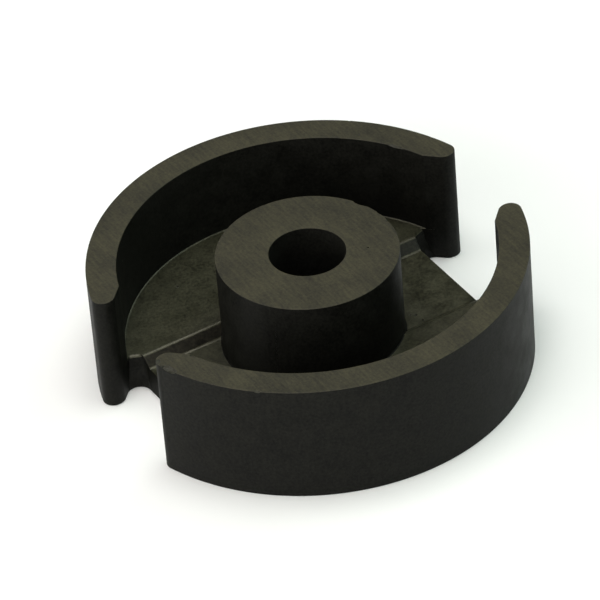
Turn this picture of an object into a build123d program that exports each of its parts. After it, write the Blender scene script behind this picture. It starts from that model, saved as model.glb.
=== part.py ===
from build123d import *
import math
import os

os.makedirs("parts", exist_ok=True)

# One half of a ferrite pot core, standing on its closed base with the ground mating faces up.
# The frame has its origin at the centre of the base, +Z along the post and +X along the two slots.
# All sizes are in millimetres.

# Turned form: base, ring wall and centre post around the winding space
outer_diameter = 18.0
half_height = 5.3
ring_wall = 1.25
post_diameter = 7.5
hole_diameter = 3.15
base_thickness = 1.45
winding_corner_radius = 0.15

# The two slots through the ring wall: rounded at the outer wall, parallel for a short flat,
# then flared towards the winding space
slot_width = 4.0
slot_edge_radius = 0.45
throat_flat = 0.04
flare_angle = 45.0
flare_blend_radius = 0.5

# The notch that carries each slot down through the base, with a straight end and rounded corners
notch_depth = 2.3
notch_corner_radius = 0.5

# The shallow channel in the floor, from one notch to the other, with sloped sides
channel_width = 5.1
channel_depth = 0.45
channel_slope = 45.0
channel_edge_radius = 0.2

outer_radius = outer_diameter / 2
ring_inner_radius = outer_radius - ring_wall
post_radius = post_diameter / 2

# The flat begins where the rounded slot edge ends, and the flare where the blend after it has its corner
slot_half = slot_width / 2
edge_end = math.sqrt((outer_radius - slot_edge_radius) ** 2 - (slot_half + slot_edge_radius) ** 2)
flare_blend_length = flare_blend_radius * math.tan(math.radians(flare_angle) / 2)
flare_start = edge_end - throat_flat - flare_blend_length
notch_end = outer_radius - notch_depth
flare_half = slot_half + (flare_start - notch_end) * math.tan(math.radians(flare_angle))

channel_half = channel_width / 2
channel_floor = base_thickness - channel_depth
channel_floor_half = channel_half - channel_depth / math.tan(math.radians(channel_slope))


# The ends of an edge all lie on the side of the post
def on_post(edge):
    return all(abs(math.hypot(v.X, v.Y) - post_radius) < 0.001 for v in edge.vertices())


# Plan of one slot in the ring: flared sides, then the parallel throat, open past the outer wall
with BuildSketch() as ring_slot:
    with BuildLine():
        Polyline(
            (notch_end, flare_half),
            (flare_start, slot_half),
            (outer_diameter, slot_half),
            (outer_diameter, -slot_half),
            (flare_start, -slot_half),
            (notch_end, -flare_half),
            close=True,
        )
    make_face()
    fillet(ring_slot.vertices().group_by(Axis.X)[1], flare_blend_radius)

# Plan of the same slot in the base, where the corners of its end are rounded
with BuildSketch() as base_slot:
    add(ring_slot.sketch)
    fillet(base_slot.vertices().group_by(Axis.X)[0], notch_corner_radius)

# Plan of the base, with the slot edges rounded where they meet the outer wall
with BuildSketch() as base_plan:
    Circle(outer_radius)
    with PolarLocations(0, 2):
        add(base_slot.sketch, mode=Mode.SUBTRACT)
    fillet(base_plan.vertices().sort_by(lambda v: math.hypot(v.X, v.Y))[-4:], slot_edge_radius)

# Plan of the ring, wide enough inside to carry the rounded corner at its foot
with BuildSketch() as ring_plan:
    Circle(outer_radius)
    Circle(ring_inner_radius - 2 * winding_corner_radius, mode=Mode.SUBTRACT)
    with PolarLocations(0, 2):
        add(ring_slot.sketch, mode=Mode.SUBTRACT)
    fillet(ring_plan.vertices().sort_by(lambda v: math.hypot(v.X, v.Y))[-4:], slot_edge_radius)

# Half section of the winding space, with its lower outer corner rounded
with BuildSketch(Plane.XZ) as winding_section:
    with Locations((0, base_thickness)):
        Rectangle(ring_inner_radius, half_height, align=(Align.MIN, Align.MIN))
    fillet(winding_section.vertices().sort_by(lambda v: v.X - v.Y)[-1], winding_corner_radius)

# Section of the channel and of the open space over the base, the corners of the channel rounded
with BuildSketch(Plane.YZ) as channel_section:
    with BuildLine():
        Polyline(
            (-channel_floor_half, channel_floor),
            (channel_floor_half, channel_floor),
            (channel_half, base_thickness),
            (outer_radius, base_thickness),
            (outer_radius, half_height),
            (-outer_radius, half_height),
            (-outer_radius, base_thickness),
            (-channel_half, base_thickness),
            close=True,
        )
    make_face()
    fillet(channel_section.vertices().sort_by(lambda v: abs(v.X))[:4], channel_edge_radius)

# The two arms of the ring, down to the base plane so that they close the channel at its sides
with BuildPart() as arms:
    extrude(ring_plan.sketch, amount=half_height)
    revolve(winding_section.sketch, axis=Axis.Z, mode=Mode.SUBTRACT)

# The base with its channel, the arms on it, then the post with a rounded foot and its hole
with BuildPart() as core:
    extrude(base_plan.sketch, amount=base_thickness)
    extrude(channel_section.sketch, amount=outer_radius, both=True, mode=Mode.SUBTRACT)
    add(arms.part)
    with BuildSketch():
        Circle(post_radius)
    extrude(amount=half_height)
    foot_low = channel_floor - winding_corner_radius
    foot_high = base_thickness + winding_corner_radius
    foot_edges = core.edges().filter_by(on_post).filter_by_position(Axis.Z, foot_low, foot_high)
    fillet(foot_edges, winding_corner_radius)
    Hole(hole_diameter / 2)

core.part.label = "pot_core_half"
export_step(core.part, "parts/pot_core_half.step")
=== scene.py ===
import math

import bpy
from mathutils import Euler, Matrix, Vector


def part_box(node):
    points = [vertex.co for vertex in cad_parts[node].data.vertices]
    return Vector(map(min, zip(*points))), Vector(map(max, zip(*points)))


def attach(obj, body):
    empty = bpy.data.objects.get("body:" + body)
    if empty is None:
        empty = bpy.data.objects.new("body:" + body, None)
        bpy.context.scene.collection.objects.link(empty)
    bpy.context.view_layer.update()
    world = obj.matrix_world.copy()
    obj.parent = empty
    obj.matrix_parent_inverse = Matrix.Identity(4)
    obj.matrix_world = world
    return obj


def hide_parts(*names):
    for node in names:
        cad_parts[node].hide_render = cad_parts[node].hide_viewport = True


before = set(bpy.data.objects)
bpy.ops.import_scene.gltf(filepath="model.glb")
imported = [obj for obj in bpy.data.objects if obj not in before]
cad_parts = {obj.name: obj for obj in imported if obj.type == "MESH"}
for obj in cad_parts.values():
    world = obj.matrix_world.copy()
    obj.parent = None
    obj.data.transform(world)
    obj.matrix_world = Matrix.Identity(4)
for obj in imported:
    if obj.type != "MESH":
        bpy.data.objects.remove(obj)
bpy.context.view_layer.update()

bl_info = {
    "name": "Ferrite pot core half",
    "version": (1, 0, 0),
    "blender": (4, 5, 0),
    "location": "View3D > Sidebar > Pot Core",
    "description": "Models one half of a ferrite pot core and sets it on a plain pale floor",
    "category": "Add Mesh",
}

MM = 0.001
NODE_LOW, NODE_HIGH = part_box("pot_core_half")
PIECE = "ferrite_core_half"

# Modelling is done in millimetres, one unit each, and the finished core is scaled down to metres.
OVER = 1.0  # how far a cutting tool reaches past what it cuts
CLOSE = 0.0004  # vertices nearer than this are one vertex
NEAR = 0.001  # how exactly a place is met where vertices and edges are picked by it
LEVEL = 0.999  # a face is level where its normal points up or down by more than this
FLOOR_BAND = 0.05  # an edge no higher above the floor than this belongs to the post's foot
FLARE_GAP = 0.005  # the channel tool stops this short of the flares, so that no two faces coincide
STEP_UP = 0.01  # how far the plain flare's outline is held above the notch's while it is shaped
DIAGONAL = 45  # the flares and the channel's sides lean by this many degrees
SLANT = math.sin(math.radians(DIAGONAL))
LEFTOVER = math.radians(0.05)  # faces and edges bent less than this are one
SHARP = math.radians(32)  # edges bent more than this stay crisp

# Faces along each curve, enough for it to look round.
SPIN_STEPS = 192  # a full turn round the post or the ring's inner wall
HOLE_STEPS = 128  # a full turn round the hole
OUTER_STEPS = 64  # a quarter of the outer wall
EDGE_STEPS = 14  # a slot's rounded edge
BLEND_STEPS = 8  # from a slot's side into its flare
NOTCH_STEPS = 18  # a notch's round corner
ROUND_STEPS = 6  # the rounds of the floor, the channel and its mouths' rims
FOOT_STEPS = 5  # the post's foot and the upright corners of the channel's mouths
WEAR_STEPS = 4  # the worn edges of the inner wall, the post and the hole
OUTLINE_STEPS = 3  # the edges of the outline, at the base and at the ground faces

LOOK_POINT = (-0.3506, 0.3128, 2.787)  # what the camera looks at, in millimetres
SENSOR_WIDTH = 36.0  # in millimetres
NEAR_CLIP, FAR_CLIP = 0.01, 20.0  # the nearest and farthest that the camera sees, in metres
FLOOR_SIZE = 4.0  # in metres

# Soft boxes: name, angle round the core from +X, height above the horizon, colour. Each one's power is
# a property of the stage. Most of the light comes from the left and from above.
SOFT_LIGHTS = (
    ("above", 0, 90, "#fffefb"),
    ("left", 180, 22, "#fffefa"),
    ("front_left", 225, 22, "#fffefa"),
    ("back_left", 135, 22, "#fffefa"),
    ("back", 90, 27, "#ffffff"),
    ("right", 5, 46, "#e4f8ee"),
    ("front_right", 315, 22, "#dcf6ea"),
)
LIGHT_REACH, LIGHT_SIZE = 400, 260  # how far off they stand and how wide they are, in millimetres

# Chips and pores, in millimetres: place, then half the length, width and depth, then the turn in degrees.
CHIPS = (
    (3.50, 1.45, 5.3, 0.46, 0.13, 0.12, 112),  # along the post's rim
    (3.74, 0.45, 5.3, 0.20, 0.05, 0.06, 97),
    (3.74, -0.19, 5.3, 0.12, 0.06, 0.06, 87),
    (6.72, 3.85, 5.3, 0.36, 0.06, 0.08, 120),  # along the ring's inner rim
    (-7.18, -2.90, 5.3, 0.12, 0.06, 0.06, 20),
    (6.19, 6.57, 5.3, 0.11, 0.06, 0.06, 137),  # nicks in the ring's outer rim
    (7.22, 5.41, 5.3, 0.08, 0.05, 0.05, 127),
    (8.31, 3.52, 5.3, 0.10, 0.06, 0.06, 113),
    (-6.32, -6.41, 5.3, 0.13, 0.07, 0.07, -45),
    (-8.38, -3.12, 5.3, 0.36, 0.16, 0.14, -70),  # the worn tip of the front arm
    (-8.53, -2.50, 5.3, 0.22, 0.10, 0.06, 42),
    (5.94, 5.44, 5.3, 0.06, 0.05, 0.03, 0),  # pores in the ground faces
    (2.12, -1.24, 5.3, 0.05, 0.04, 0.06, 0),
    (3.86, -1.25, 1.0, 0.07, 0.05, 0.05, 10),  # pores in the channel, the floor and the inner wall
    (4.06, -1.40, 1.0, 0.06, 0.05, 0.05, 50),
    (4.11, -1.85, 1.0, 0.07, 0.04, 0.05, 80),
    (-3.13, 5.62, 1.45, 0.07, 0.05, 0.05, 30),
    (-5.75, 5.20, 4.3, 0.06, 0.05, 0.06, 0),
)
PEBBLE_ROUGHNESS = 0.12  # how far a chip tool's surface is pushed about, as a share of its radius
PEBBLE_LEVELS = 3  # subdivisions, so that a chip has some facets of its own

# Ferrite's own IOR is about 2.3, but its fine porous skin looks far duller, so it is matched lower.
FERRITE_IOR = 1.5
WORN_EDGE = 0.04  # how far every edge looks worn, in millimetres
SKIN_RELIEF, FRACTURE_RELIEF = 0.003, 0.02  # how deep the grain is in the skin and in a fracture, likewise
WHEEL_LIE = math.radians(24)  # which way the grinding marks lie
WHEEL_STRETCH = 0.12  # a mark is about eight times as long as it is wide

# How far up a face's normal points tells what it is: a wall 0, the channel's slope 0.71, the floor 1.
FLOOR_UP, UNDERSIDE_UP = 0.99, -0.9
ROUND_UP = 0.6  # more than this, and the round at the ring's foot counts as floor
SLOPE_UP, SLOPE_SIDE = 0.73, 0.68  # a slope points up less than the one and sideways more than the other


def linear(hex_colour):
    """Turns an sRGB hex value into linear red, green and blue."""
    parts = [int(hex_colour[i:i + 2], 16) / 255 for i in (1, 3, 5)]
    return tuple(p / 12.92 if p <= 0.04045 else ((p + 0.055) / 1.055) ** 2.4 for p in parts)


def length(name, description, millimetres):
    """A length property in metres, with its default given in millimetres."""
    return bpy.props.FloatProperty(
        name=name, description=description, default=millimetres * MM,
        min=0.0, precision=5, unit="LENGTH", subtype="DISTANCE",
    )


def turn(name, description, degrees):
    """An angle property, with its default given in degrees."""
    return bpy.props.FloatProperty(
        name=name, description=description, default=math.radians(degrees),
        unit="ROTATION", subtype="ANGLE",
    )


def power(name, description, watts):
    """A light's power in watts."""
    return bpy.props.FloatProperty(
        name=name, description=description, default=watts, min=0.0, unit="POWER",
    )


def colour(name, description, hex_colour):
    """A colour property with an sRGB default."""
    return bpy.props.FloatVectorProperty(
        name=name, description=description, default=linear(hex_colour),
        min=0.0, max=1.0, size=3, subtype="COLOR",
    )


class CoreSizes(bpy.types.PropertyGroup):
    """Sizes of the core half."""
    outer_diameter: length(
        "Outer diameter", "Across the ring, from the frame", round((NODE_HIGH.y - NODE_LOW.y) / MM, 2)
    )
    height: length("Height", "From the base to the ground faces, from the frame", round(NODE_HIGH.z / MM, 2))
    ring_wall: length("Ring wall", "Thickness of the ring wall", 1.25)
    post_diameter: length("Post diameter", "Across the centre post", 7.5)
    hole_diameter: length("Hole diameter", "Across the hole through the post", 3.15)
    base_thickness: length("Base thickness", "From the underside to the floor of the winding space", 1.45)
    corner_radius: length("Corner radius", "Round between the floor and the walls beside it", 0.07)
    slot_back: length("Slot side, back", "From the middle to a slot's side towards +Y", 2.0)
    slot_front: length("Slot side, front", "From the middle to a slot's side towards -Y", 2.135)
    slot_edge: length("Slot edge radius", "Round of a slot where it meets the outer wall", 0.45)
    slot_flat: length("Slot flat", "Straight side between the rounded edge and the flare", 0.04)
    flare_blend: length("Flare blend", "Round between the side of a slot and its flare", 0.5)
    notch_depth: length("Notch depth", "How far a notch cuts into the base", 2.3)
    notch_corner: length("Notch corner", "Round in the corners of a notch", 0.5)
    channel_width: length("Channel width", "Across the channel at the floor", 5.1)
    channel_depth: length("Channel depth", "Depth of the channel below the floor", 0.45)
    channel_edge_back: length("Channel edge, back", "Round along the channel's edges towards +Y", 0.2)
    channel_edge_front: length("Channel edge, front", "Round along the channel's edges towards -Y", 0.35)
    mouth_start: length("Channel mouth", "From the middle to where the channel opens out square", 6.58)
    mouth_reach: length("Mouth reach", "How far the mouth runs outwards", 1.2)
    mouth_spread: length("Mouth spread", "How much wider each side of the mouth gets on its way out", 0.5)
    mouth_drop: length("Mouth drop", "How far below the channel the mouth's draft runs", 1.1)
    mouth_taper: length("Mouth taper", "How much each side draws in over that drop", 0.42)
    mouth_draft: length("Mouth draft", "How much the sides of the notch wall lean out over that drop", 0.16)
    mouth_corner: length("Mouth corner", "Round in the mouth's upright corners", 0.15)
    mouth_width: length("Mouth width", "Across the channel's square mouth", 5.0)
    mouth_rim: length("Mouth rim", "Round along the sides of the mouth", 0.25)
    ground_edge: length("Ground edge", "How far the edges of the ground faces are worn round", 0.025)
    base_edge: length("Base edge", "Round along the outline of the base", 0.05)


class CoreFinishAndShade(bpy.types.PropertyGroup):
    """Colours of the ferrite, with painted shade in those of the walls and the channel's slopes."""
    ground: colour("Ground face", "Ferrite where it is ground flat", "#302d1e")
    fired_floor: colour("As-fired floor", "Pressed floor of the winding space, and the underside", "#303024")
    # The walls' colour is the floor's as-fired ferrite darkened with painted shade.
    fired_wall_painted_shade: colour("As-fired wall", "Pressed side walls", "#12120f")
    # The slopes' colour is the floor's ferrite darkened with painted shade, less far than the walls'.
    fired_slope_painted_shade: colour("As-fired slope", "Sloped sides of the channel", "#211f18")
    fracture: colour("Fracture", "Bare grain inside a chip", "#2b2a20")


class StageSetup(bpy.types.PropertyGroup):
    """Floor, lights and camera."""
    floor: colour("Floor", "Plain pale floor", "#fbfbfa")
    light_above: power("Light above", "Power of the soft box overhead", 1.03)
    light_left: power("Light, left", "Power of the soft box at the left", 0.72)
    light_front_left: power("Light, front left", "Power of the soft box at the front left", 0.74)
    light_back_left: power("Light, back left", "Power of the soft box at the back left", 0.37)
    light_back: power("Light, back", "Power of the soft box at the back", 0.23)
    light_right: power("Light, right", "Power of the soft box at the right", 0.48)
    light_front_right: power("Light, front right", "Power of the soft box at the front right", 0.32)
    azimuth: turn("Camera azimuth", "Turn of the camera round the core from -Y, clockwise from above", 28.9)
    elevation: turn("Camera elevation", "Height of the camera above the horizon", 38.0806)
    roll: turn("Camera roll", "Turn of the camera about its own line of sight", -4.8736)
    distance: length("Camera distance", "From the camera to the point it looks at", 206.897)
    lens: bpy.props.FloatProperty(
        name="Lens", description="Focal length of the camera", default=305.08, unit="CAMERA"
    )


# Modelling by hand, in millimetres

def only(piece):
    """Leaves one object selected and active."""
    bpy.ops.object.select_all(action="DESELECT")
    piece.select_set(True)
    bpy.context.view_layer.objects.active = piece


def edit_all(piece):
    """Opens one object in edit mode with everything selected."""
    only(piece)
    bpy.ops.object.mode_set(mode="EDIT")
    bpy.ops.mesh.select_all(action="SELECT")


def done():
    """Goes back to object mode."""
    bpy.ops.object.mode_set(mode="OBJECT")


def pick(piece, kind, test):
    """Opens a piece in edit mode with only the vertices, edges or faces that pass a test selected."""
    edit_all(piece)
    bpy.ops.mesh.select_mode(type=kind)
    bpy.ops.mesh.select_all(action="DESELECT")
    done()
    mesh = piece.data
    items = {"VERT": mesh.vertices, "EDGE": mesh.edges, "FACE": mesh.polygons}[kind]
    found = 0
    for item in items:
        if kind == "VERT":
            chosen = test(item.co)
        elif kind == "EDGE":
            chosen = test(*(mesh.vertices[i].co for i in item.vertices))
        else:
            chosen = test(item)
        item.select = bool(chosen)
        found += bool(chosen)
    if not found:
        raise RuntimeError(f"nothing to select on {piece.name}")
    bpy.ops.object.mode_set(mode="EDIT")


def tidy(piece):
    """Merges doubles and turns every face outwards."""
    edit_all(piece)
    bpy.ops.mesh.remove_doubles(threshold=CLOSE)
    bpy.ops.mesh.normals_make_consistent(inside=False)
    done()


def flatten(piece):
    """Dissolves what is left over in flat faces and straight edges, so that the next cut is clean."""
    edit_all(piece)
    bpy.ops.mesh.dissolve_limited(angle_limit=LEFTOVER)
    done()


def start_line(name, point):
    """A new piece that is one selected vertex, open in edit mode."""
    bpy.ops.object.select_all(action="DESELECT")
    bpy.ops.mesh.primitive_plane_add(size=1.0)
    piece = bpy.context.object
    piece.name = piece.data.name = name
    bpy.ops.object.mode_set(mode="EDIT")
    bpy.ops.mesh.select_mode(type="VERT")
    bpy.ops.mesh.select_all(action="SELECT")
    bpy.ops.mesh.merge(type="CENTER")
    bpy.ops.transform.translate(value=point)
    return piece


def line_by(*step):
    """Draws a straight line on from the last vertex."""
    bpy.ops.mesh.extrude_vertices_move(TRANSFORM_OT_translate={"value": step})


def arc_by(centre, degrees, steps, axis=(0, 0, 1)):
    """Draws an arc on from the last vertex. Spin turns clockwise, so the angle is reversed."""
    bpy.ops.mesh.spin(steps=steps, angle=-math.radians(degrees), center=centre, axis=axis)


def revolve(piece, steps=SPIN_STEPS):
    """Spins a profile once round the Z axis into a closed solid."""
    edit_all(piece)
    bpy.ops.mesh.spin(steps=steps, angle=math.tau, center=(0, 0, 0), axis=(0, 0, 1))
    done()
    tidy(piece)


def apply(piece, kind, **settings):
    """Adds a modifier with its settings and applies it."""
    only(piece)
    bpy.ops.object.modifier_add(type=kind)
    modifier = piece.modifiers[-1]
    for key, value in settings.items():
        setattr(modifier, key, value)
    bpy.ops.object.modifier_apply(modifier=modifier.name)


def join(pieces, name):
    """Joins pieces into one and merges the vertices they share."""
    piece = pieces[0]
    only(piece)
    for other in pieces[1:]:
        other.select_set(True)
    bpy.ops.object.join()
    piece.name = piece.data.name = name
    edit_all(piece)
    bpy.ops.mesh.remove_doubles(threshold=CLOSE)
    done()
    return piece


def combine(piece, tool, how):
    """Joins a tool to a piece or cuts it out, then removes the tool."""
    apply(piece, "BOOLEAN", object=tool, operation=how, solver="EXACT", material_mode="TRANSFER")
    mesh = tool.data
    bpy.data.objects.remove(tool)
    bpy.data.meshes.remove(mesh)


def slot_plan(s, half):
    """Where the lines and arcs of a slot's side meet, for a side this far from the middle."""
    outer, edge, blend, corner = s["outer"], s["slot_edge"], s["blend"], s["notch_corner"]
    edge_x = math.sqrt((outer - edge) ** 2 - (half + edge) ** 2)
    flare_x = edge_x - s["slot_flat"]
    flare_sum = flare_x + half + blend - 2 * blend * SLANT
    notch_x = outer - s["notch_depth"]
    return {
        "edge_x": edge_x, "edge_angle": math.degrees(math.atan2(half + edge, edge_x)),
        "flare_x": flare_x, "flare_sum": flare_sum, "notch_x": notch_x,
        "notch_y": flare_sum - 2 * corner * SLANT - (notch_x + corner),
    }


def half_outline(s, half, side):
    """Half of the pressed outline: outer wall, rounded slot edge, flare and the notch's round corner."""
    plan, edge, blend, corner = slot_plan(s, half), s["slot_edge"], s["blend"], s["notch_corner"]
    run = plan["notch_x"] + corner + corner * SLANT - (plan["flare_x"] - blend * SLANT)
    piece = start_line(PIECE, (0, s["outer"], 0))
    arc_by((0, 0, 0), plan["edge_angle"] - 90, OUTER_STEPS)
    arc_by((plan["edge_x"], half + edge, 0), -90 - plan["edge_angle"], EDGE_STEPS)
    line_by(-s["slot_flat"], 0, 0)
    arc_by((plan["flare_x"], half + blend, 0), -DIAGONAL, BLEND_STEPS)
    line_by(run, -run, 0)
    arc_by((plan["notch_x"] + corner, plan["notch_y"], 0), 180 - DIAGONAL, NOTCH_STEPS)
    line_by(0, -plan["notch_y"], 0)
    bpy.ops.mesh.select_all(action="SELECT")
    bpy.ops.transform.resize(value=(1, side, 1), center_override=(0, 0, 0))
    done()
    apply(piece, "MIRROR", use_axis=(True, False, False), merge_threshold=CLOSE)
    return piece


def press_blank(s):
    """The pressed blank: a disc with flared slots where the ring will be and rounded notches in the base."""
    piece = join([half_outline(s, s["slot_front"], -1), half_outline(s, s["slot_back"], 1)], PIECE)
    edit_all(piece)
    bpy.ops.mesh.edge_face_add()
    bpy.ops.mesh.extrude_region_move(TRANSFORM_OT_translate={"value": (0, 0, s["base"])})
    bpy.ops.mesh.extrude_region_move(TRANSFORM_OT_translate={"value": (0, 0, STEP_UP)})
    done()
    for side, half in ((1, s["slot_back"]), (-1, s["slot_front"])):
        straighten_flare(piece, slot_plan(s, half), side, s["base"] + STEP_UP, s["notch_corner"])
    pick(piece, "FACE", lambda f: abs(f.normal.z) > LEVEL and f.center.z > s["base"] + STEP_UP / 2)
    bpy.ops.transform.translate(value=(0, 0, -STEP_UP))
    bpy.ops.mesh.extrude_region_move(TRANSFORM_OT_translate={"value": (0, 0, s["height"] - s["base"])})
    done()
    tidy(piece)
    for level, wear in ((0, s["base_wear"]), (s["height"], s["wear"])):
        pick(piece, "EDGE", lambda a, b: abs(a.z - level) < CLOSE and abs(b.z - level) < CLOSE)
        bpy.ops.mesh.bevel(offset=wear, segments=OUTLINE_STEPS, profile=0.5, affect="EDGES")
        done()
    return piece


def straighten_flare(piece, plan, side, level, corner):
    """Moves the notch's round corner out to the plain flare, which takes its place above the base."""
    start = plan["notch_x"] + corner
    low, high = start - 10 * NEAR, start + corner * SLANT - NEAR

    def on_corner(co):
        return (low < abs(co.x) < high and plan["notch_y"] < co.y * side < 1.5 * plan["notch_y"]
                and abs(co.z - level) < NEAR)
    for width in sorted({round(abs(v.co.x), 3) for v in piece.data.vertices if on_corner(v.co)}):
        pick(piece, "VERT", lambda co: on_corner(co) and abs(abs(co.x) - width) < 2 * NEAR)
        done()
        now = max(abs(v.co.y) for v in piece.data.vertices if v.select)
        bpy.ops.object.mode_set(mode="EDIT")
        bpy.ops.transform.resize(value=(1, (plan["flare_sum"] - width) / now, 1), center_override=(0, 0, 0))
        done()


def half_channel(s, round_edge, side):
    """Half of the channel's section, with its sloped side rounded at the floor and at the bottom."""
    half, depth, base, x = s["channel_half"], s["channel_depth"], s["base"], -s["outer"]
    tangent, axis = round_edge * math.tan(math.radians(DIAGONAL / 2)), (1, 0, 0)
    climb = depth - 2 * tangent * SLANT
    piece = start_line("channel_half", (x, 0, base - depth))
    line_by(0, half - depth - tangent, 0)
    arc_by((x, half - depth - tangent, base - depth + round_edge), DIAGONAL, ROUND_STEPS, axis)
    line_by(0, climb, climb)
    arc_by((x, half + tangent, base - round_edge), -DIAGONAL, ROUND_STEPS, axis)
    line_by(0, 0, OVER)
    line_by(0, -half - tangent, 0)
    bpy.ops.mesh.select_all(action="SELECT")
    bpy.ops.transform.resize(value=(1, side, 1), center_override=(0, 0, 0))
    done()
    return piece


def channel_mouth(s, side):
    """The tool that opens the channel out square at a notch, with a round rim and a slight draft."""
    half, start, rim, base = s["mouth_half"], s["mouth"], s["mouth_rim"], s["base"]
    reach, spread, drop, draft = s["mouth_reach"], s["mouth_spread"], s["mouth_drop"], s["mouth_draft"]
    level = base - s["channel_depth"]
    mouth = start_line("channel_mouth", (start, 0, level))
    line_by(0, half, 0)
    line_by(0, 0, base - rim - level)
    arc_by((start, half + rim, base - rim), -90, ROUND_STEPS, axis=(1, 0, 0))
    line_by(0, 0, OVER / 2)
    line_by(0, -half - rim, 0)
    done()
    apply(mouth, "MIRROR", use_axis=(False, True, False), merge_threshold=CLOSE)
    edit_all(mouth)
    bpy.ops.mesh.remove_doubles(threshold=CLOSE)
    bpy.ops.mesh.edge_face_add()
    bpy.ops.mesh.extrude_region_move(TRANSFORM_OT_translate={"value": (reach, 0, 0)})
    done()
    for y in (-1, 1):
        pick(mouth, "VERT", lambda co: co.x > start + CLOSE and co.y * y > CLOSE)
        bpy.ops.transform.translate(value=(0, y * spread, 0))
        done()
    pick(mouth, "FACE", lambda f: abs(f.normal.z) > LEVEL and f.center.z < level + CLOSE)
    bpy.ops.mesh.extrude_region_move(TRANSFORM_OT_translate={"value": (0, 0, -drop)})
    done()
    # The points in the middle are not picked and stay upright, so the near face folds a little there.
    for y in (-1, 1):
        for far, lean in ((False, draft), (True, 0)):
            pick(mouth, "VERT", lambda co: (
                co.z < level - CLOSE and co.y * y > 0 and (co.x > start + CLOSE) == far))
            bpy.ops.transform.translate(value=(lean, y * (lean * spread / reach - s["mouth_taper"]), 0))
            done()
    tidy(mouth)

    def at_corner(a, b):
        return a.y * b.y > 0 and all(
            start - CLOSE < p.x < start + draft + CLOSE and abs(p.y) > half / 2 for p in (a, b))
    pick(mouth, "EDGE", at_corner)
    bpy.ops.mesh.bevel(offset=s["mouth_corner"], segments=FOOT_STEPS, profile=0.5, affect="EDGES")
    bpy.ops.mesh.select_all(action="SELECT")
    bpy.ops.mesh.quads_convert_to_tris()
    done()
    only(mouth)
    bpy.ops.transform.resize(value=(side, 1, 1), center_override=(0, 0, 0))
    bpy.ops.object.transform_apply(location=True, rotation=True, scale=True)
    tidy(mouth)
    return mouth


def channel_ridge(s):
    """The ridge that presses the channel, with a mouth at each end, trimmed off just inside the flares."""
    ridge = join([half_channel(s, s["edge_back"], 1), half_channel(s, s["edge_front"], -1)], "channel_ridge")
    edit_all(ridge)
    bpy.ops.mesh.edge_face_add()
    bpy.ops.mesh.extrude_region_move(TRANSFORM_OT_translate={"value": (2 * s["outer"], 0, 0)})
    done()
    tidy(ridge)
    for side in (-1, 1):
        combine(ridge, channel_mouth(s, side), "UNION")
    edit_all(ridge)
    for y, slot_side in ((1, s["slot_back"]), (-1, s["slot_front"])):
        reach = slot_plan(s, slot_side)["flare_sum"] - FLARE_GAP
        for x in (-1, 1):
            bpy.ops.mesh.select_all(action="SELECT")
            bpy.ops.mesh.bisect(
                plane_co=(x * reach, 0, 0), plane_no=(x, y, 0), use_fill=True, clear_outer=True)
    done()
    tidy(ridge)
    flatten(ridge)
    return ridge


def winding_disc(s):
    """The disc that presses the ring's inner wall and the floor, with the round where they meet."""
    inner, base, corner, wear, top = s["inner"], s["base"], s["corner"], s["wear"], s["height"]
    axis = (0, -1, 0)
    disc = start_line("winding_punch", (0, 0, base))
    line_by(inner - corner, 0, 0)
    arc_by((inner - corner, 0, base + corner), 90, ROUND_STEPS, axis)
    line_by(0, 0, top - wear - base - corner)
    arc_by((inner + wear, 0, top - wear), -90, WEAR_STEPS, axis)
    line_by(0, 0, OVER)
    line_by(-inner - wear, 0, 0)
    done()
    revolve(disc)
    return disc


def post_socket(s):
    """The socket in the punch that the centre post fills."""
    post, wear, top = s["post"], s["wear"], s["height"]
    socket = start_line("post_socket", (0, 0, -OVER))
    line_by(post, 0, 0)
    line_by(0, 0, OVER + top - wear)
    arc_by((post - wear, 0, top - wear), 90, WEAR_STEPS, axis=(0, -1, 0))
    line_by(0, 0, 3 * OVER)
    line_by(wear - post, 0, 0)
    done()
    revolve(socket)
    return socket


def winding_punch(s):
    """The tool that presses the winding space: disc and channel ridge, cut out round the post."""
    punch = winding_disc(s)
    combine(punch, channel_ridge(s), "UNION")
    tidy(punch)
    flatten(punch)
    combine(punch, post_socket(s), "DIFFERENCE")
    tidy(punch)
    flatten(punch)
    pick(punch, "EDGE", lambda a, b: all(
        abs(math.hypot(p.x, p.y) - s["post"]) < 3 * NEAR and p.z < s["base"] + FLOOR_BAND for p in (a, b)))
    bpy.ops.mesh.bevel(offset=s["corner"], segments=FOOT_STEPS, profile=0.5, affect="EDGES")
    done()
    tidy(punch)
    return punch


def hole_core(s):
    """The core rod that leaves the centre hole."""
    hole, wear, top = s["hole"], s["wear"], s["height"]
    axis = (0, -1, 0)
    rod = start_line("hole_core", (0, 0, -OVER))
    line_by(hole + wear, 0, 0)
    line_by(0, 0, OVER)
    arc_by((hole + wear, 0, wear), -90, WEAR_STEPS, axis)
    line_by(0, 0, top - 2 * wear)
    arc_by((hole + wear, 0, top - wear), -90, WEAR_STEPS, axis)
    line_by(0, 0, OVER)
    line_by(-hole - wear, 0, 0)
    done()
    revolve(rod, HOLE_STEPS)
    return rod


def chip_tool(seed, x, y, z, along, across, deep, degrees, material):
    """A rough pebble that takes one chip or pore out of the core."""
    bpy.ops.object.select_all(action="DESELECT")
    bpy.ops.mesh.primitive_ico_sphere_add(subdivisions=PEBBLE_LEVELS, radius=1.0)
    pebble = bpy.context.object
    pebble.name = pebble.data.name = "chip_tool"
    pebble.data.materials.append(material)
    edit_all(pebble)
    bpy.ops.transform.vertex_random(offset=PEBBLE_ROUGHNESS, uniform=0.5, normal=0.5, seed=seed)
    bpy.ops.transform.resize(value=(along, across, deep), center_override=(0, 0, 0))
    bpy.ops.transform.rotate(value=-math.radians(degrees), orient_axis="Z", center_override=(0, 0, 0))
    bpy.ops.transform.translate(value=(x, y, z))
    done()
    return pebble


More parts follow.
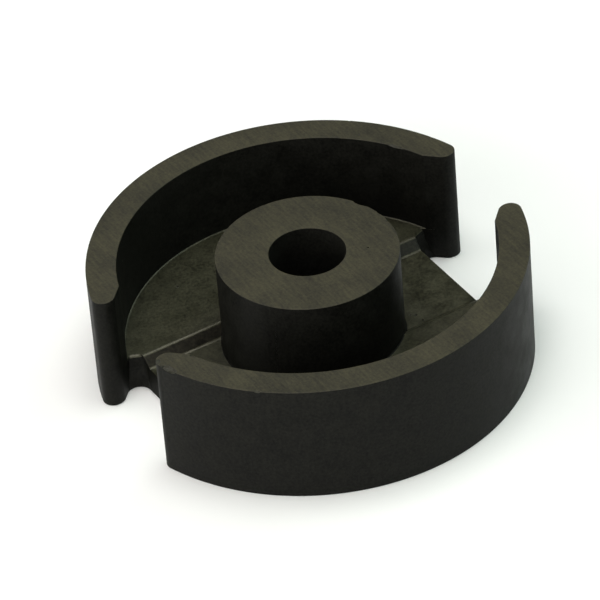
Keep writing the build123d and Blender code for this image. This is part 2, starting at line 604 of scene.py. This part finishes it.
class POTCORE_OT_core(bpy.types.Operator):
    """Model the ferrite core half in place of its plain solid"""
    bl_idname = "potcore.core"
    bl_label = "Ferrite core half"

    def execute(self, context):
        sizes = context.scene.potcore_sizes
        s = {
            "outer": sizes.outer_diameter / 2, "inner": sizes.outer_diameter / 2 - sizes.ring_wall,
            "height": sizes.height, "post": sizes.post_diameter / 2, "hole": sizes.hole_diameter / 2,
            "base": sizes.base_thickness, "corner": sizes.corner_radius,
            "slot_back": sizes.slot_back, "slot_front": sizes.slot_front,
            "slot_edge": sizes.slot_edge, "slot_flat": sizes.slot_flat,
            "blend": sizes.flare_blend, "notch_depth": sizes.notch_depth, "notch_corner": sizes.notch_corner,
            "channel_half": sizes.channel_width / 2, "channel_depth": sizes.channel_depth,
            "edge_back": sizes.channel_edge_back, "edge_front": sizes.channel_edge_front,
            "wear": sizes.ground_edge, "base_wear": sizes.base_edge,
            "mouth": sizes.mouth_start, "mouth_half": sizes.mouth_width / 2, "mouth_rim": sizes.mouth_rim,
            "mouth_reach": sizes.mouth_reach, "mouth_spread": sizes.mouth_spread,
            "mouth_drop": sizes.mouth_drop, "mouth_taper": sizes.mouth_taper,
            "mouth_draft": sizes.mouth_draft, "mouth_corner": sizes.mouth_corner,
        }
        # A property keeps about seven digits, so what comes after them is rounded off.
        s = {name: round(value / MM, 6) for name, value in s.items()}
        finish_and_shade = context.scene.potcore_finish
        core = press_blank(s)
        combine(core, winding_punch(s), "DIFFERENCE")
        combine(core, hole_core(s), "DIFFERENCE")
        tidy(core)
        dress(core, finish_and_shade, s)
        fracture = broken_ferrite(finish_and_shade.fracture)
        pebbles = [chip_tool(seed, *chip, fracture) for seed, chip in enumerate(CHIPS)]
        combine(core, join(pebbles, "chip_tools"), "DIFFERENCE")
        tidy(core)
        only(core)
        bpy.ops.transform.resize(value=(MM, MM, MM), center_override=(0, 0, 0))
        bpy.ops.object.transform_apply(location=True, rotation=True, scale=True)
        bpy.ops.object.shade_smooth_by_angle(angle=SHARP)
        apply(core, "WEIGHTED_NORMAL", keep_sharp=True)
        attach(core, "root")
        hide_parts("pot_core_half")
        return {"FINISHED"}


# Materials

def per(millimetres):
    """Texture scale that gives features of this real size."""
    return 1 / (millimetres * MM)


def node(tree, kind, sockets=None, **settings):
    """Adds a node with its settings, its constant inputs and its links."""
    made = tree.nodes.new(kind)
    for key, value in settings.items():
        setattr(made, key, value)
    for key, value in (sockets or {}).items():
        if isinstance(value, bpy.types.NodeSocket):
            tree.links.new(value, made.inputs[key])
        else:
            made.inputs[key].default_value = value
    return made


def new_material(name):
    """An empty node material."""
    material = bpy.data.materials.new(name)
    material.use_nodes = True
    material.node_tree.nodes.clear()
    return material


def surface(material, tint, tone, relief, gloss, depth, reflection, glint="#ffffff"):
    """Closes a ferrite material: a tint varied by tone, softly worn edges, relief and an uneven gloss."""
    tree = material.node_tree
    shade = node(tree, "ShaderNodeMix", {
        "Factor": 1.0, 6: (*tint, 1), 7: tone,
    }, data_type="RGBA", blend_type="MULTIPLY")
    rounded = node(tree, "ShaderNodeBevel", {"Radius": WORN_EDGE * MM}, samples=6)
    bump = node(tree, "ShaderNodeBump", {
        "Strength": 1.0, "Distance": depth * MM, "Height": relief, "Normal": rounded.outputs["Normal"],
    })
    skin = node(tree, "ShaderNodeBsdfPrincipled", {
        "Base Color": shade.outputs[2], "Metallic": 0.0, "IOR": FERRITE_IOR, "Roughness": gloss,
        "Specular IOR Level": reflection, "Specular Tint": (*linear(glint), 1),
        "Normal": bump.outputs["Normal"],
    })
    node(tree, "ShaderNodeOutputMaterial", {"Surface": skin.outputs["BSDF"]})
    return material


# Manganese-zinc ferrite, a black sintered ceramic, ground flat with a fine wheel. To the eye it is matt and
# olive grey, with a faint lie of grinding marks and a speckle of open grain.
def ground_ferrite(tint):
    """The ground mating faces on top of the ring and the post."""
    material = new_material("manganese_zinc_ferrite_ground")
    tree = material.node_tree
    place = node(tree, "ShaderNodeTexCoord").outputs["Object"]
    along = node(tree, "ShaderNodeMapping", {
        "Vector": place, "Rotation": (0, 0, WHEEL_LIE), "Scale": (1, WHEEL_STRETCH, 1),
    })
    # The wheel's marks are some 0.03 mm apart, less than a pixel, so they are drawn at 0.12 mm.
    lines = node(tree, "ShaderNodeTexNoise", {
        "Vector": along.outputs["Vector"], "Scale": per(0.12), "Detail": 4.0, "Roughness": 0.7,
    })
    # The crystal grain is some 0.01 mm, far too fine to show, so it is drawn at 0.11 mm.
    grain = node(tree, "ShaderNodeTexNoise", {
        "Vector": place, "Scale": per(0.11), "Detail": 3.0, "Roughness": 0.75,
    })
    # Denser and looser patches from the pressing, 1.6 mm across.
    patches = node(tree, "ShaderNodeTexNoise", {"Vector": place, "Scale": per(1.6), "Detail": 3.0})
    fine = node(tree, "ShaderNodeMath", {0: lines.outputs["Fac"], 1: grain.outputs["Fac"]}, operation="ADD")
    both = node(tree, "ShaderNodeMath", {
        0: patches.outputs["Fac"], 1: 0.6, 2: fine.outputs["Value"]}, operation="MULTIPLY_ADD")
    tone = node(tree, "ShaderNodeMapRange", {
        "Value": both.outputs["Value"], "From Min": 1.0, "From Max": 1.6, "To Min": 0.4, "To Max": 1.6,
    })
    gloss = node(tree, "ShaderNodeMapRange", {
        "Value": patches.outputs["Fac"], "To Min": 0.5, "To Max": 0.66,
    })
    return surface(material, tint, tone.outputs["Result"], fine.outputs["Value"], gloss.outputs["Result"],
                   SKIN_RELIEF, reflection=0.35)


# Manganese-zinc ferrite as it leaves the kiln, with the skin that the pressing tool gave it. The floor took
# a satin sheen from the punch, so its edges catch the light. The walls slid along the die and are duller,
# and their tint, far darker than the floor's, is painted shade; the slopes' darker tint is painted shade
# too.
def fired_ferrite(where, tint, roughness, reflection, glint="#ffffff"):
    """An as-fired face: satin on the floor and the underside, duller on the slopes and the walls, whose
    darker tints are painted shade.
    """
    material = new_material(f"manganese_zinc_ferrite_fired_{where}")
    tree = material.node_tree
    place = node(tree, "ShaderNodeTexCoord").outputs["Object"]
    # Pressed granules of some 0.12 mm still show as a fine speckle.
    grain = node(tree, "ShaderNodeTexNoise", {
        "Vector": place, "Scale": per(0.12), "Detail": 3.0, "Roughness": 0.7,
    })
    # Kiln staining in soft patches, 0.9 mm across.
    patches = node(tree, "ShaderNodeTexNoise", {
        "Vector": place, "Scale": per(0.9), "Detail": 4.0, "Roughness": 0.6,
    })
    both = node(tree, "ShaderNodeMath", {
        0: patches.outputs["Fac"], 1: 0.5, 2: grain.outputs["Fac"]}, operation="MULTIPLY_ADD")
    tone = node(tree, "ShaderNodeMapRange", {
        "Value": both.outputs["Value"], "From Min": 0.55, "From Max": 0.95, "To Min": 0.35, "To Max": 1.65,
    })
    gloss = node(tree, "ShaderNodeMapRange", {
        "Value": patches.outputs["Fac"], "From Min": 0.3, "From Max": 0.7,
        "To Min": roughness[0], "To Max": roughness[1],
    })
    return surface(material, tint, tone.outputs["Result"], both.outputs["Value"], gloss.outputs["Result"],
                   SKIN_RELIEF, reflection, glint)


# Manganese-zinc ferrite where it has chipped: bare crystal, rough, with a speckled glint.
def broken_ferrite(tint):
    """The inside of a chip or pore."""
    material = new_material("manganese_zinc_ferrite_fractured")
    tree = material.node_tree
    place = node(tree, "ShaderNodeTexCoord").outputs["Object"]
    # Broken facets follow the granules, so they are drawn at 0.09 mm.
    grain = node(tree, "ShaderNodeTexNoise", {
        "Vector": place, "Scale": per(0.09), "Detail": 4.0, "Roughness": 0.8,
    })
    tone = node(tree, "ShaderNodeMapRange", {
        "Value": grain.outputs["Fac"], "From Min": 0.3, "From Max": 0.7, "To Min": 0.6, "To Max": 1.5,
    })
    gloss = node(tree, "ShaderNodeMapRange", {"Value": grain.outputs["Fac"], "To Min": 0.3, "To Max": 0.6})
    return surface(material, tint, tone.outputs["Result"], grain.outputs["Fac"], gloss.outputs["Result"],
                   FRACTURE_RELIEF, reflection=0.3)


# Matt white card, so evenly lit that it nearly vanishes. Its own faint clouding is 40 mm across.
def white_card(tint):
    """The plain pale floor."""
    material = new_material("white_card_matt")
    tree = material.node_tree
    place = node(tree, "ShaderNodeTexCoord").outputs["Object"]
    cloud = node(tree, "ShaderNodeTexNoise", {"Vector": place, "Scale": per(40), "Detail": 2.0})
    tone = node(tree, "ShaderNodeMapRange", {"Value": cloud.outputs["Fac"], "To Min": 0.985, "To Max": 1.0})
    shade = node(tree, "ShaderNodeMix", {
        "Factor": 1.0, 6: (*tint, 1), 7: tone.outputs["Result"],
    }, data_type="RGBA", blend_type="MULTIPLY")
    skin = node(tree, "ShaderNodeBsdfPrincipled", {
        "Base Color": shade.outputs[2], "Roughness": 0.9, "Specular IOR Level": 0.1,
    })
    node(tree, "ShaderNodeOutputMaterial", {"Surface": skin.outputs["BSDF"]})
    return material


def dress(core, finish_and_shade, s):
    """Gives each face of the core the material of its place, with painted shade on the walls and the slopes.
    """
    # The floor's glint is warm. The channel's slopes lie between the satin floor and the dull walls, and
    # their darker tint is painted shade.
    finishes_and_shades = {
        "ground": ground_ferrite(finish_and_shade.ground),
        "floor": fired_ferrite(
            "floor", finish_and_shade.fired_floor, roughness=(0.28, 0.42), reflection=0.6, glint="#fffae6"),
        "wall": fired_ferrite("wall", finish_and_shade.fired_wall_painted_shade, roughness=(0.47, 0.60), reflection=0.09),
        "slope": fired_ferrite("slope", finish_and_shade.fired_slope_painted_shade, roughness=(0.36, 0.50), reflection=0.29),
    }
    core.data.materials.clear()
    for material in finishes_and_shades.values():
        core.data.materials.append(material)
    index = {name: i for i, name in enumerate(finishes_and_shades)}
    top = s["height"] - s["wear"] / 2
    low, high = (s["base"] - s["channel_depth"]) / 2, s["base"] + s["corner"]
    foot = s["post"] + 1.5 * s["corner"]
    for face in core.data.polygons:
        z, up = face.center.z, face.normal.z
        # The round at the post's foot takes the walls' painted shade, and the one at the ring's foot shines
        # with the floor.
        on_floor = low < z < high and up > (
            ROUND_UP if math.hypot(face.center.x, face.center.y) > foot else FLOOR_UP)
        slope = up < SLOPE_UP and abs(face.normal.y) > SLOPE_SIDE and abs(face.center.y) < s["channel_half"]
        if z > top:
            face.material_index = index["ground"]
        elif on_floor and slope:
            face.material_index = index["slope"]
        elif on_floor or up < UNDERSIDE_UP:
            face.material_index = index["floor"]
        else:
            face.material_index = index["wall"]


class POTCORE_OT_stage(bpy.types.Operator):
    """Set the plain pale floor, the soft lights and the camera"""
    bl_idname = "potcore.stage"
    bl_label = "Floor, lights and camera"

    def execute(self, context):
        stage = context.scene.potcore_stage
        bpy.ops.object.select_all(action="DESELECT")
        bpy.ops.mesh.primitive_plane_add(size=FLOOR_SIZE, location=(0, 0, 0))
        floor = bpy.context.object
        floor.name = floor.data.name = "floor"
        floor.data.materials.append(white_card(stage.floor))

        for name, around, above, tint in SOFT_LIGHTS:
            place = Vector((LIGHT_REACH * MM, 0, 0))
            place.rotate(Euler((0, -math.radians(above), math.radians(around))))
            bpy.ops.object.light_add(type="AREA", location=place)
            lamp = bpy.context.object
            lamp.name = lamp.data.name = f"softbox_{name}"
            lamp.data.size = LIGHT_SIZE * MM
            lamp.data.energy = getattr(stage, f"light_{name}")
            lamp.data.color = linear(tint)
            lamp.rotation_euler = (-place).to_track_quat("-Z", "Y").to_euler()

        dark_room = bpy.data.worlds.new("dark_room")
        context.scene.world = dark_room
        dark_room.use_nodes = True
        dark_room.node_tree.nodes["Background"].inputs["Strength"].default_value = 0.0

        context.scene.view_settings.view_transform = "Standard"
        sight = (
            Matrix.Rotation(-stage.azimuth, 4, "Z")
            @ Matrix.Rotation(math.radians(90) - stage.elevation, 4, "X")
            @ Matrix.Rotation(stage.roll, 4, "Z")
        )
        target = Vector(LOOK_POINT) * MM
        bpy.ops.object.camera_add(
            location=target + sight.to_3x3() @ Vector((0, 0, stage.distance)), rotation=sight.to_euler()
        )
        camera = bpy.context.object
        camera.name = camera.data.name = "camera"
        camera.data.lens = stage.lens
        camera.data.sensor_width = SENSOR_WIDTH
        camera.data.clip_start, camera.data.clip_end = NEAR_CLIP, FAR_CLIP
        context.scene.camera = camera
        return {"FINISHED"}


class POTCORE_PT_panel(bpy.types.Panel):
    """Lists the pieces of the core half, its sizes and its colours"""
    bl_idname = "POTCORE_PT_panel"
    bl_label = "Pot Core"
    bl_space_type = "VIEW_3D"
    bl_region_type = "UI"
    bl_category = "Pot Core"

    def draw(self, context):
        layout = self.layout
        for operator in STEPS:
            layout.operator(operator.bl_idname)
        for group in ("potcore_sizes", "potcore_finish", "potcore_stage"):
            values = getattr(context.scene, group)
            box = layout.box()
            for name in values.__annotations__:
                box.prop(values, name)


GROUPS = {"potcore_sizes": CoreSizes, "potcore_finish": CoreFinishAndShade, "potcore_stage": StageSetup}
STEPS = (POTCORE_OT_core, POTCORE_OT_stage)


def register():
    """Registers the property groups, the operators and the panel."""
    for name, group in GROUPS.items():
        bpy.utils.register_class(group)
        setattr(bpy.types.Scene, name, bpy.props.PointerProperty(type=group))
    for made in (*STEPS, POTCORE_PT_panel):
        bpy.utils.register_class(made)


def unregister():
    """Takes them away again."""
    for made in (POTCORE_PT_panel, *reversed(STEPS)):
        bpy.utils.unregister_class(made)
    for name, group in reversed(GROUPS.items()):
        delattr(bpy.types.Scene, name)
        bpy.utils.unregister_class(group)


def main():
    register()
    bpy.ops.potcore.core()
    bpy.ops.potcore.stage()


if __name__ == "__main__":
    main()
